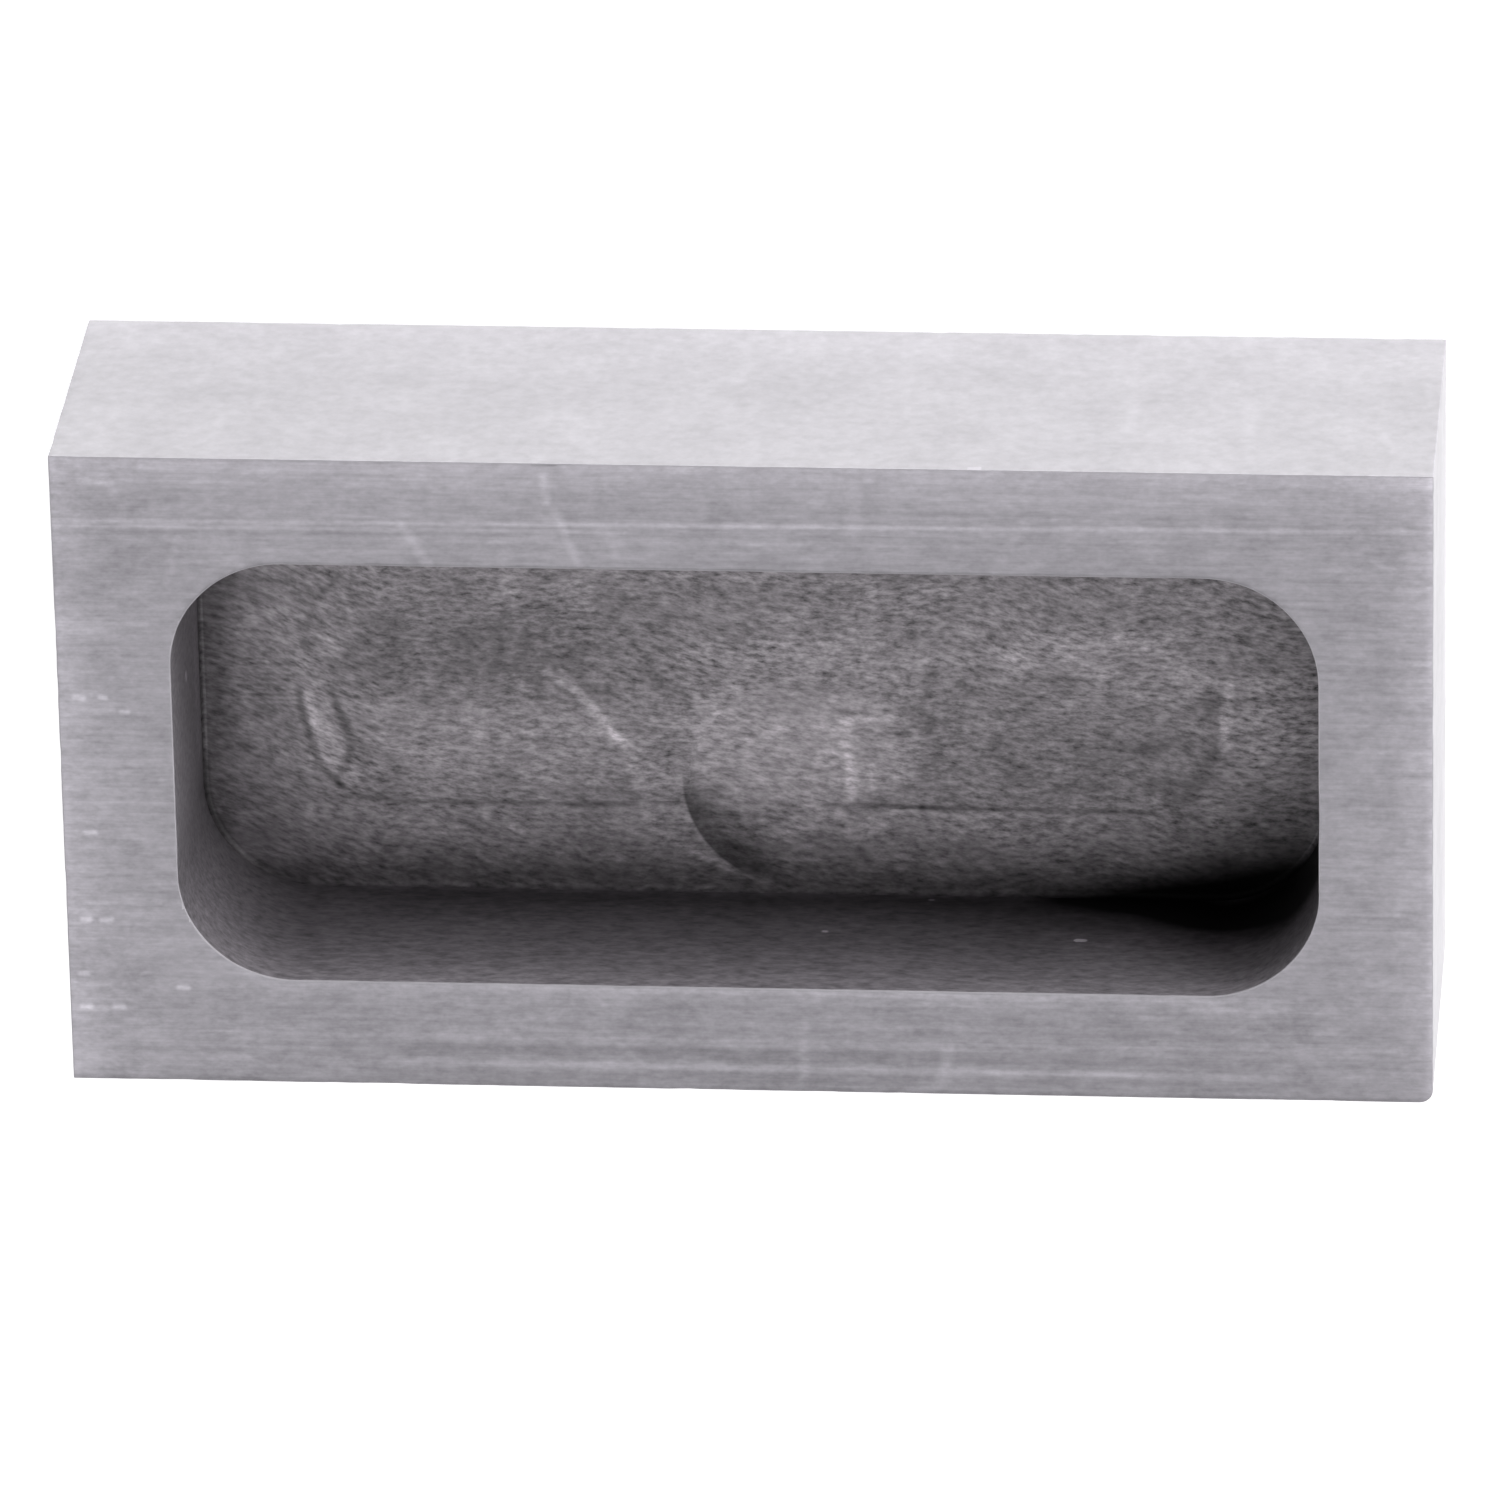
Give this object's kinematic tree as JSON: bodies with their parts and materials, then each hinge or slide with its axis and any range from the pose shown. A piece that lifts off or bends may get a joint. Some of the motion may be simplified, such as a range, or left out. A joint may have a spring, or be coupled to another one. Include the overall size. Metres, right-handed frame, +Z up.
{
  "type": "ingot mould",
  "caption": "Solid graphite block with an open, round-cornered cavity milled into its top, for casting a flat bar of metal.",
  "frame": {"origin": "middle of the base, on the surface that the mould stands on", "axes": "+Z up, out of the cavity's mouth; X along the block and the bar it casts; Y across it"},
  "size_m": [0.12, 0.06, 0.03],
  "materials": {
    "graphite": "bare machined graphite with a dull metallic sheen: sawn lines along the rim, smooth rubbed sides, darker grainy milled cavity"
  },
  "bodies": {
    "root": {"mould_block": "graphite"}
  },
  "joints": []
}
